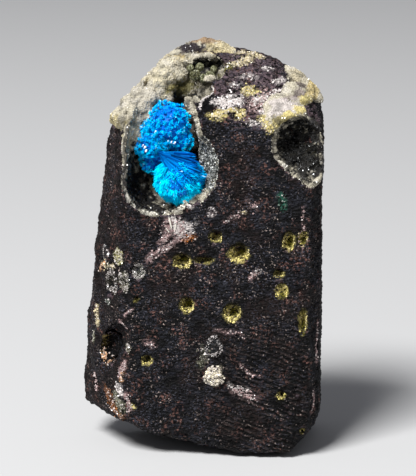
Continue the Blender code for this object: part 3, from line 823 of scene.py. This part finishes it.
# %% The lower sheaf
SHEAF_BLADES = 6400
SHEAF_ROOT = np.array((-6.6, -7.6, 56.6))
SHEAF_BALL = np.array((-3.2, -8.9, 50.9))
SHEAF_HALF_WIDTHS = (4.7, 4.1, 4.4)
ways = around(SHEAF_BLADES) + dice.normal(0, 0.02, (SHEAF_BLADES, 3))
ways = ways[ways[:, 1] < BACKWARD]
swell = 1 + 0.16 * waves(ways, 0.42, 3.0) + 0.10 * waves(ways, 0.2, 5.0)
tips = SHEAF_BALL + ways * SHEAF_HALF_WIDTHS * swell[:, None]
run = tips - SHEAF_ROOT
distance = np.linalg.norm(run, axis=1)
run = run / distance[:, None] * 0.7 + ways * 0.6 + dice.normal(0, 0.12, ways.shape)
run /= np.linalg.norm(run, axis=1, keepdims=True)
length = np.minimum(distance * 0.8, dice.uniform(1.2, 2.4, len(tips)))
width = dice.uniform(0.10, 0.22, len(tips))
shade = 0.85 + 0.9 * (swell - 1) / 0.2 + dice.normal(0, 0.2, len(tips))
shade -= 0.8 * ramp(ways[:, 2] + 0.6 * ways[:, 0], 0.1, 0.8)
print("the sheaf's blades are", round(length.mean(), 2), "mm long on average")

# %% The fan of long blades
FAN_BLADES = 520
FAN_ROOT = np.array((-6.9, -10.4, 56.3))
# The direction of each blade, from steeply down to straight right, and how far along the fan's
# reach it starts.
angle = np.radians(dice.uniform(-62, 0, FAN_BLADES))
start = dice.uniform(0.0, 0.62, FAN_BLADES)
fan_reach = 6.2 + 2.4 * np.sin(-2 * angle) + dice.normal(0, 0.3, FAN_BLADES)
fan_way = np.stack([np.cos(angle), -0.10 - 0.22 * np.sin(-angle) + dice.normal(0, 0.05, FAN_BLADES),
                    np.sin(angle)], axis=1)
fan_spots = FAN_ROOT + fan_way * (start * fan_reach)[:, None]
fan_spots[:, 1] += dice.uniform(0.0, 1.2, FAN_BLADES) * (1 - start)
fan_length = fan_reach * (1 - start) * dice.uniform(0.75, 1.0, FAN_BLADES)
fan_width = dice.uniform(0.3, 0.55, FAN_BLADES)
sheaf_tints = tinted(shade)
fan_tints = mix(np.tile(FAN_BLUE, (FAN_BLADES, 1)), AZURE, 0.6 * dice.random(FAN_BLADES) ** 2)
lower_sheaf = joined_copies(
    "cavansite_lower", blade_template(),
    np.concatenate([tips - run * length[:, None], fan_spots]), np.concatenate([run, fan_way]),
    np.concatenate([np.stack([width, width, length], axis=1),
                    np.stack([fan_width, fan_width, fan_length], axis=1)]),
    np.concatenate([sheaf_tints, fan_tints]))

# %% [markdown]
# Two smaller things go with the crystals. A few white needles lie on the pale mark below the
# hollow, and they use the same blade. Behind the blue blades, a smooth copy of the CAD's
# crystals, shrunk a little, keeps the clusters solid and deep blue between them.

# %% White needles on the pale mark
# x, z, length and lean in degrees, and how far they stand off the rock, which is towards -Y.
NEEDLES = [(-4.4, 42.8, 2.3, 12), (-3.8, 42.4, 1.3, -6), (-4.9, 42.0, 1.1, 30),
           (-2.6, 41.4, 0.9, -20)]
NEEDLE_RAISED = -0.3
lean = np.radians([needle[3] for needle in NEEDLES])
needles = joined_copies(
    "white_needles", blade_template(),
    np.array([on_rock_front(x, z) for x, z, _, _ in NEEDLES]) + (0, NEEDLE_RAISED, 0),
    np.stack([-np.sin(lean), np.full(len(lean), -0.18), np.cos(lean)], axis=1),
    np.array([(0.3, 0.3, length) for _, _, length, _ in NEEDLES]), np.tile(RIM, (len(lean), 1)))

# %% A core behind the blades
CORE_SHRINK = 0.75
core = fine_copy("cavansite", "cavansite_core", 0.35)
move_points(core, points_of(core) - outward_of(core) * CORE_SHRINK)

# %% [markdown]
# The druse is a lining of tiny clear and grey crystals that sparkle on the walls of the hollows.
# Bump could hint at it, but only real faces flash. Each crystal is a small cube stood on end.
# They are strewn over the faces of a crust by area, and take the colour of the place they grow
# on. The wall right of the rosettes has more of them, dark and clear, like salt and pepper.

# %% Strewing crystals
def on_faces(obj, count):
    """Random places on an object's faces, their outward directions and points nearby."""
    mesh = obj.data
    mesh.calc_loop_triangles()
    corners = np.empty(len(mesh.loop_triangles) * 3, int)
    mesh.loop_triangles.foreach_get("vertices", corners)
    corners = corners.reshape(-1, 3)
    triangles = points_of(obj)[corners]
    span = np.cross(triangles[:, 1] - triangles[:, 0], triangles[:, 2] - triangles[:, 0])
    area = np.linalg.norm(span, axis=1)
    pick = dice.choice(len(triangles), count, p=area / area.sum())
    share = dice.dirichlet((1, 1, 1), count)
    places = (triangles[pick] * share[:, :, None]).sum(axis=1)
    return places, span[pick] / area[pick][:, None], corners[pick, 0]


def cube_template():
    """A cube of unit width that stands on one corner."""
    bm = bmesh.new()
    bmesh.ops.create_cube(bm, size=0.7)
    bmesh.ops.rotate(bm, matrix=Matrix.Rotation(math.radians(45), 3, "X"), verts=bm.verts)
    bmesh.ops.rotate(bm, matrix=Matrix.Rotation(math.radians(35.3), 3, "Y"), verts=bm.verts)
    return bm


def ball_template():
    """A ball of unit width with twenty flat faces."""
    bm = bmesh.new()
    bmesh.ops.create_icosphere(bm, subdivisions=1, radius=0.5)
    return bm


# %% The druse of both hollows
CLEAR = srgb(190, 190, 188)


def druse(name, host, host_colours, count, smallest, largest):
    """Small crystals all over a crust, lighter or darker than the place they stand on."""
    places, outward, near = on_faces(host, count)
    size = smallest + (largest - smallest) * dice.random(count) ** 2
    lighter = dice.random(count) ** 2
    # The crust's colours carry its painted shade, so crystals in the shaded parts of the hollows
    # are dark too.
    tints = mix(host_colours[near], CLEAR, 0.16 * lighter ** 3)
    tints *= dice.uniform(0.6, 1.2, (count, 1))
    return joined_copies(name, cube_template(), places, outward + dice.normal(0, 0.5, (count, 3)),
                         np.tile(size[:, None], (1, 3)), tints)


main_druse = druse("hollow_druse", main_crust, main_colours, 15000, 0.1, 0.34)
side_druse = druse("side_hollow_druse", side_crust, side_colours, 7000, 0.1, 0.32)

# %% The salt and pepper wall
WALL_MIDDLE = (2.0, -9.0, 55.2)
WALL_REACH = (3.4, 3.4, 6.8)
# Places tried all over the crust, of which those on the wall are kept.
WALL_TRIES = 58500
PEPPER = srgb(8, 9, 10)
SALT = srgb(226, 228, 224)
places, outward, _ = on_faces(main_crust, WALL_TRIES)
on_wall = np.flatnonzero(np.linalg.norm((places - WALL_MIDDLE) / WALL_REACH, axis=1) < 1)
size = 0.12 + 0.26 * dice.random(len(on_wall)) ** 2
wall_tints = mix(np.tile(PEPPER, (len(on_wall), 1)), SALT, dice.random(len(on_wall)) ** 2.5)
wall_druse = joined_copies("wall_druse", cube_template(), places[on_wall],
                           outward[on_wall] + dice.normal(0, 0.6, (len(on_wall), 3)),
                           np.tile(size[:, None], (1, 3)), wall_tints)

# %% [markdown]
# The pits on the front are lined with small round beads, straw-coloured in the lit crescent and
# olive above it. The fillings and the marks are strewn with mineral grains. Every place is found
# on the rock itself, by a ray from the front or as its nearest point, so that beads and grains
# lie on the block when it is seen from any side.

# %% Places on the front, and the linings of the pits
def front_spots(x, z, half_width, half_height, count, bare=0.0):
    """Places on the rock's front inside an oval, seen straight on, outside its bare middle."""
    reach = np.sqrt(dice.uniform(bare ** 2, 1, count))
    turn = dice.uniform(0, 2 * np.pi, count)
    reach *= 1 + 0.1 * np.sin(3 * turn + x) + 0.06 * np.sin(5 * turn + z)
    all_x = x + half_width * reach * np.cos(turn)
    all_z = z + half_height * reach * np.sin(turn)
    found = []
    for place_x, place_z in zip(all_x, all_z):
        start = Vector((place_x, -40, place_z)) * MM
        spot, _, _, _ = rock_tree.ray_cast(start, Vector((0, 1, 0)))
        if spot is not None:
            found.append(spot / MM)
    return np.array(found).reshape(-1, 3)


BEADS_PER_MM2 = 12
bead_spots, bead_tints = [], []
for x, z, half_width, half_height, fullness in YELLOW_PITS:
    count = int(BEADS_PER_MM2 * math.pi * half_width * half_height)
    spots = front_spots(x, z, half_width * 1.02, half_height * 1.02, count)
    rough = waves(spots, 0.6, 2.0)
    straw, black, _ = pit_shares(spots, rough, x, z, half_width, half_height, fullness)
    keep = dice.random(len(spots)) < np.maximum(straw, 0.6 * (1 - black)) + 0.04
    spots, straw, black = spots[keep], straw[keep], black[keep]
    # Painted shade: the beads towards the top of a pit are black.
    tints = mix(np.tile(DEEP_OLIVE, (len(spots), 1)), SHADE_BLACK, black)
    bright = mix(np.tile(STRAW * 1.2, (len(spots), 1)), CREAM * 1.1, dice.random(len(spots)) ** 2)
    tints = mix(tints, bright, straw)
    bead_spots.append(spots)
    bead_tints.append(tints)
bead_spots = np.concatenate(bead_spots)
bead_size = dice.uniform(0.16, 0.4, (len(bead_spots), 1))
linings = joined_copies("pit_linings", ball_template(), bead_spots,
                        np.tile((0.0, -1.0, 0.2), (len(bead_spots), 1)),
                        np.tile(bead_size, (1, 3)), np.concatenate(bead_tints))


# %% Places along a smear
def smear_spots(start, end, width, count):
    """Places on the rock within a ragged distance of a short line, with the way they face."""
    _, facing, _, _ = rock_tree.find_nearest(Vector((start + end) / 2) * MM)
    facing = np.array(facing)
    scatter = dice.normal(0, 0.55 * width, (count, 3))
    scatter -= (scatter @ facing)[:, None] * facing
    guesses = start + dice.random((count, 1)) * (end - start) + scatter
    guesses = guesses[waves(guesses, 0.7, 6.0) > -0.3]
    guesses -= bend(guesses)
    guesses = guesses[np.linalg.norm(guesses - HOLE, axis=1) > HOLE_CLEAR]
    places, outward = [], []
    for guess in (guesses * MM).tolist():
        spot, normal, _, _ = rock_tree.find_nearest(guess)
        places.append(spot / MM)
        outward.append(normal)
    return np.array(places), np.array(outward)


# %% The mineral grains
grain_spots, grain_ways, grain_tints = [], [], []
for start, end, width, colour, _, count in MARKS:
    places, outward = smear_spots(start, end, width, count)
    grain_spots.append(places)
    grain_ways.append(outward)
    grain_tints.append(mix(np.tile(colour, (len(places), 1)), SUGAR, dice.random(len(places)) ** 3))
for x, z, half_width, half_height, colour, count, bare in FRONT_FILLINGS:
    places = front_spots(x, z, half_width * 1.04, half_height * 1.04, count, bare)
    grain_spots.append(places)
    grain_ways.append(np.tile((0.0, -1.0, 0.0), (len(places), 1)))
    tints = np.tile(colour * 1.2, (len(places), 1))
    grain_tints.append(mix(tints, 0.9 * SUGAR, dice.random(len(places))))
grain_spots = np.concatenate(grain_spots)
grain_count = len(grain_spots)
grain_size = 0.12 + 0.3 * dice.random(grain_count) ** 2
grains = joined_copies("mineral_grains", cube_template(), grain_spots,
                       np.concatenate(grain_ways) + dice.normal(0, 0.4, (grain_count, 3)),
                       np.tile(grain_size[:, None], (1, 3)),
                       np.concatenate(grain_tints) * dice.uniform(0.45, 1.1, (grain_count, 1)))

# %% [markdown]
# In the dark recess above the hollow grow some grey-green balls. Each is a bunch of small beads
# around a centre, made as the rosettes are, with the ball in place of the blade.

# %% Green balls in the upper recess
# The centre and the radius of each ball, and the number of its beads.
RECESS_BALLS = [((-1.0, -2.6, 69.2), 1.0), ((1.7, -2.8, 69.0), 0.95), ((-0.2, -2.0, 70.6), 0.7),
                ((0.5, -2.4, 68.6), 0.8), ((-1.9, -2.2, 70.4), 0.6), ((2.3, -1.6, 70.2), 0.6)]
BALL_BEADS = 90
MOSS = srgb(62, 62, 34)
LICHEN = srgb(150, 150, 120)
ball_spots, ball_ways = [], []
for middle, radius in RECESS_BALLS:
    ways = around(BALL_BEADS) + dice.normal(0, 0.05, (BALL_BEADS, 3))
    ball_spots.append(np.array(middle) + ways * radius * 0.85)
    ball_ways.append(ways)
ball_spots = np.concatenate(ball_spots)
ball_sizes = np.tile(dice.uniform(0.25, 0.5, (len(ball_spots), 1)), (1, 3))
ball_tints = mix(np.tile(MOSS, (len(ball_spots), 1)), LICHEN, dice.random(len(ball_spots)) ** 2)
balls = joined_copies("recess_balls", ball_template(), ball_spots, np.concatenate(ball_ways),
                      ball_sizes, ball_tints)

# %% [markdown]
# Materials come next. Nearly all of them take their main colour from the painted points, and add
# what is too fine for the mesh: specks, grains and a bump, on object coordinates in millimetres.
# These helpers keep each material to a few lines.

# %% Helpers for materials
def new_material(name, roughness, specular=0.5):
    """A material with a Principled shader, which is returned with its node tree."""
    material = bpy.data.materials.new(name)
    material.use_nodes = True
    shader = material.node_tree.nodes["Principled BSDF"]
    shader.inputs["Roughness"].default_value = roughness
    shader.inputs["Specular IOR Level"].default_value = specular
    return material, material.node_tree, shader


def add(tree, kind, inputs=(), **settings):
    """Add a node. Settings are its own options; inputs are values, or sockets to link."""
    node = tree.nodes.new("ShaderNode" + kind)
    for option, value in settings.items():
        setattr(node, option, value)
    for key, value in dict(inputs).items():
        if isinstance(value, bpy.types.NodeSocket):
            tree.links.new(value, node.inputs[key])
        else:
            node.inputs[key].default_value = value
    return node


# %% Helpers for patterns and layers of colour
def here(tree, stretch=(1, 1, 1)):
    """Object coordinates in millimetres, stretched along the axes."""
    coordinates = add(tree, "TexCoord").outputs["Object"]
    scale = tuple(s / MM for s in stretch)
    return add(tree, "Mapping", {"Vector": coordinates, "Scale": scale}).outputs[0]


def speckle(tree, place, size, low, high, detail=2.0):
    """0 to 1 noise spots of about the given size, with the contrast set by low and high."""
    spots = add(tree, "TexNoise", {"Vector": place, "Scale": 1 / size, "Detail": detail})
    return add(tree, "MapRange", {"Value": spots.outputs[0], "From Min": low,
                                  "From Max": high}).outputs[0]


def times(tree, one, other):
    """The product of two values."""
    return add(tree, "Math", {0: one, 1: other}, operation="MULTIPLY").outputs[0]


def over(tree, share, under, upper_colour):
    """Lay one colour over another by a share."""
    # In the node's list of inputs the share is 0 and the colours are 6 and 7.
    node = add(tree, "Mix", data_type="RGBA")
    for index, value in ((0, share), (6, under), (7, upper_colour)):
        if isinstance(value, bpy.types.NodeSocket):
            tree.links.new(value, node.inputs[index])
        else:
            node.inputs[index].default_value = (*value, 1) if index else value
    return node.outputs[2]


def bump(tree, shader, height, distance):
    """Fine relief from a height between 0 and 1, and how much that is in millimetres."""
    node = add(tree, "Bump", {"Height": height, "Distance": distance * MM, "Strength": 1.0})
    tree.links.new(node.outputs[0], shader.inputs["Normal"])


def skin_of(tree):
    """The colour painted on the points."""
    return add(tree, "Attribute", attribute_name="skin").outputs["Color"]


# %% [markdown]
# Basalt is black and rough, with slaty, rusty and pale specks that gather in clusters. The saw
# left dark lines with faint, light ridges between them, in the part of the front where the
# attribute saw_marks is high. A sine of the distance across the lines gives them, and noise
# makes them drift and break off, as real ones do.

# %% The saw lines of the basalt
# How far the noise shifts the lines, as an angle of the sine.
SAW_DRIFT = 12.0

basalt, tree, shader = new_material("basalt", 0.6, 0.15)
place = here(tree)
across_lines = add(tree, "VectorMath", {0: place, 1: (SAW_SLOPE, 0, 1)}, operation="DOT_PRODUCT")
drift = add(tree, "TexNoise", {"Vector": place, "Scale": 0.3, "Detail": 3.0}).outputs[0]
turns = add(tree, "Math", {0: across_lines.outputs["Value"], 1: 2 * math.pi / SAW_PERIOD,
                           2: times(tree, drift, SAW_DRIFT)}, operation="MULTIPLY_ADD").outputs[0]
saw_wave = add(tree, "Math", {0: turns}, operation="SINE").outputs[0]
sawn_here = add(tree, "Attribute", attribute_name="saw_marks").outputs["Fac"]
groove = add(tree, "MapRange", {"Value": saw_wave, "From Min": -0.3, "From Max": 0.6}).outputs[0]
groove = times(tree, times(tree, groove, speckle(tree, place, 2.2, 0.42, 0.54)), sawn_here)
ridge = add(tree, "MapRange", {"Value": saw_wave, "From Min": -0.1, "From Max": -0.8}).outputs[0]
ridge = times(tree, times(tree, ridge, sawn_here), speckle(tree, place, 1.8, 0.47, 0.58, 4.0))

# %% The specks and the bump of the basalt
NEARLY_BLACK = srgb(3, 3, 3)
SLATY_SPECK = srgb(70, 71, 82)
RUSTY_SPECK = srgb(120, 86, 78)
PALE_SPECK = srgb(184, 166, 158)
SAW_RIDGE = srgb(72, 60, 56)
grain = here(tree, (1, 1, 1.5))
pits = speckle(tree, grain, 0.7, 0.52, 0.4, 3.0)
colour = over(tree, pits, skin_of(tree), NEARLY_BLACK)
slaty = times(tree, speckle(tree, grain, 0.4, 0.54, 0.66), speckle(tree, place, 3.6, 0.44, 0.58))
colour = over(tree, slaty, colour, SLATY_SPECK)
cluster = speckle(tree, place, 2.6, 0.52, 0.66)
rusty = times(tree, speckle(tree, place, 0.45, 0.52, 0.64, 3.0), cluster)
colour = over(tree, rusty, colour, RUSTY_SPECK)
cluster = speckle(tree, place, 2.2, 0.46, 0.6)
pale = times(tree, speckle(tree, place, 0.36, 0.63, 0.75, 1.0), cluster)
colour = over(tree, pale, colour, PALE_SPECK)
colour = over(tree, groove, colour, NEARLY_BLACK)
colour = over(tree, times(tree, ridge, 0.5), colour, SAW_RIDGE)
tree.links.new(colour, shader.inputs["Base Color"])
relief = speckle(tree, here(tree, (0.8, 1, 1.3)), 0.55, 0.3, 0.7, 5.0)
relief = add(tree, "Math", {0: relief, 1: times(tree, groove, 0.7)}, operation="SUBTRACT")
bump(tree, shader, relief.outputs[0], 1.1)
rock.data.materials.append(basalt)
print("the basalt's material has", len(tree.nodes), "nodes")

# %% [markdown]
# The crusts are dull and finely grained, so their material is only the painted colour with dark
# specks and a low bump. The crystals of the druse, the grains and the needles are glassy, and
# the beads are waxy, so they differ in roughness.

# %% Crust
CRUST_SPECK = srgb(50, 44, 34)
zeolite, tree, shader = new_material("zeolite_crust", 0.55, 0.3)
place = here(tree)
specks = times(tree, speckle(tree, place, 0.35, 0.5, 0.72), 0.45)
colour = over(tree, specks, skin_of(tree), CRUST_SPECK)
tree.links.new(colour, shader.inputs["Base Color"])
bump(tree, shader, speckle(tree, place, 0.3, 0.3, 0.7, 3.0), 0.2)
for piece in (main_crust, side_crust):
    piece.data.materials.append(zeolite)
    print(piece.name, "is made of", zeolite.name)

# %% Crystals of the druse, grains and beads
WAX_SPECK = srgb(60, 56, 20)
glassy, tree, shader = new_material("druse_crystal", 0.22, 0.6)
tree.links.new(skin_of(tree), shader.inputs["Base Color"])
waxy, tree, shader = new_material("waxy_bead", 0.4, 0.4)
specks = times(tree, speckle(tree, here(tree), 0.2, 0.5, 0.7), 0.5)
colour = over(tree, specks, skin_of(tree), WAX_SPECK)
tree.links.new(colour, shader.inputs["Base Color"])
for piece, material in ((main_druse, glassy), (side_druse, glassy), (wall_druse, glassy),
                        (grains, glassy), (needles, glassy), (linings, waxy), (balls, waxy)):
    piece.data.materials.append(material)
    print(piece.name, "is made of", material.name)

# %% [markdown]
# Cavansite is a clear, bright blue. White light mirrored by thousands of blades would wash it
# out, so its specular tint is blue too. A blade is darker at its root, as painted shade where the
# blades crowd, by the attribute along, which goes from 0 at a blade's root to 1 at its tip.

# %% Cavansite
cavansite, tree, shader = new_material("cavansite_blue", 0.5, 0.2)
shader.inputs["Specular Tint"].default_value = (0.0, 0.55, 1.0, 1)
along = add(tree, "Attribute", attribute_name="along").outputs["Fac"]
# Painted shade: each blade is darker towards its root.
deeper = add(tree, "MapRange", {"Value": along, "From Min": 0.7, "From Max": 0.0}).outputs[0]
root_shade_blue = add(tree, "HueSaturation", {"Color": skin_of(tree), "Value": 0.72}).outputs[0]
colour = over(tree, deeper, skin_of(tree), root_shade_blue)
tree.links.new(colour, shader.inputs["Base Color"])
for piece in (upper_cluster, lower_sheaf):
    piece.data.materials.append(cavansite)
    print(piece.name, "is made of", cavansite.name)

# %% The core's deep blue
CORE_BLUE = srgb(0, 84, 176)
CORE_LIGHTER = srgb(0, 122, 215)
deep_blue, tree, shader = new_material("cavansite_deep", 0.5, 0.1)
colour = over(tree, speckle(tree, here(tree), 0.5, 0.4, 0.6), CORE_BLUE, CORE_LIGHTER)
tree.links.new(colour, shader.inputs["Base Color"])
core.data.materials.append(deep_blue)
print("materials:", ", ".join(material.name for material in bpy.data.materials))

# %% [markdown]
# Last, each piece is tied to the CAD model: the body that it rides on and the node that it is shown
# in place of. Each is listed with a material slot of the CAD too. A rock has only one body.

# %% Pieces ride on the specimen's one body
for piece, node, slot in ((rock, "basalt_matrix", "basalt"),
                          (linings, "basalt_matrix", "cream_crust"),
                          (grains, "basalt_matrix", "white_crust"),
                          (needles, "basalt_matrix", "white_crust"),
                          (main_crust, "vug_crust", "cream_crust"),
                          (main_druse, "vug_crust", "cream_crust"),
                          (wall_druse, "vug_crust", "cream_crust"),
                          (balls, "vug_crust", "cream_crust"),
                          (side_crust, "side_vug_crust", "white_crust"),
                          (side_druse, "side_vug_crust", "white_crust"),
                          (upper_cluster, "cavansite", "cavansite_blue"),
                          (lower_sheaf, "cavansite", "cavansite_blue"),
                          (core, "cavansite", "cavansite_blue")):
    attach(piece, "root")
    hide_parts(node)
    print(piece.name, "stands for", node)

# %% [markdown]
# A plain pale floor and soft light. The photograph was lit from above and in front, which leaves
# the hollows dark, so one large lamp stands there and the surroundings only fill in a little.

# %% The floor
FLOOR_HALF = 3000
FLOOR_GREY = (0.44, 0.44, 0.44, 1)
bm = bmesh.new()
bmesh.ops.create_grid(bm, x_segments=1, y_segments=1, size=FLOOR_HALF * MM)
floor = object_from("floor", bm)
paper, tree, shader = new_material("paper", 0.9)
shader.inputs["Base Color"].default_value = FLOOR_GREY
floor.data.materials.append(paper)
print("the floor is", 2 * FLOOR_HALF, "mm across")

# %% Weak light from all around
AMBIENT = (0.9, 0.92, 1, 1)
AMBIENT_STRENGTH = 0.25
world = bpy.data.worlds.new("world")
bpy.context.scene.world = world
world.use_nodes = True
background = world.node_tree.nodes["Background"]
background.inputs["Color"].default_value = AMBIENT
background.inputs["Strength"].default_value = AMBIENT_STRENGTH
bpy.context.scene.view_settings.view_transform = "Standard"
print("light from all around:", AMBIENT_STRENGTH)

# %% The lamp
# Where it stands, how wide it is, in millimetres, and its power.
LAMP_PLACE = Vector((-440, -810, 1260))
LAMP_WIDTH = 520
LAMP_WATTS = 50
lamp_data = bpy.data.lights.new("key", "AREA")
lamp_data.size = LAMP_WIDTH * MM
lamp_data.energy = LAMP_WATTS
lamp = bpy.data.objects.new("key", lamp_data)
bpy.context.scene.collection.objects.link(lamp)
lamp.location = LAMP_PLACE * MM
lamp.rotation_euler = (LAMP_PLACE - AIM).to_track_quat("Z", "Y").to_euler()
print("the lamp is", round((LAMP_PLACE - AIM).length), "mm away")

# %% [markdown]
# The fine pieces must not change the size of the part.

# %% The end
print("the scene is built")
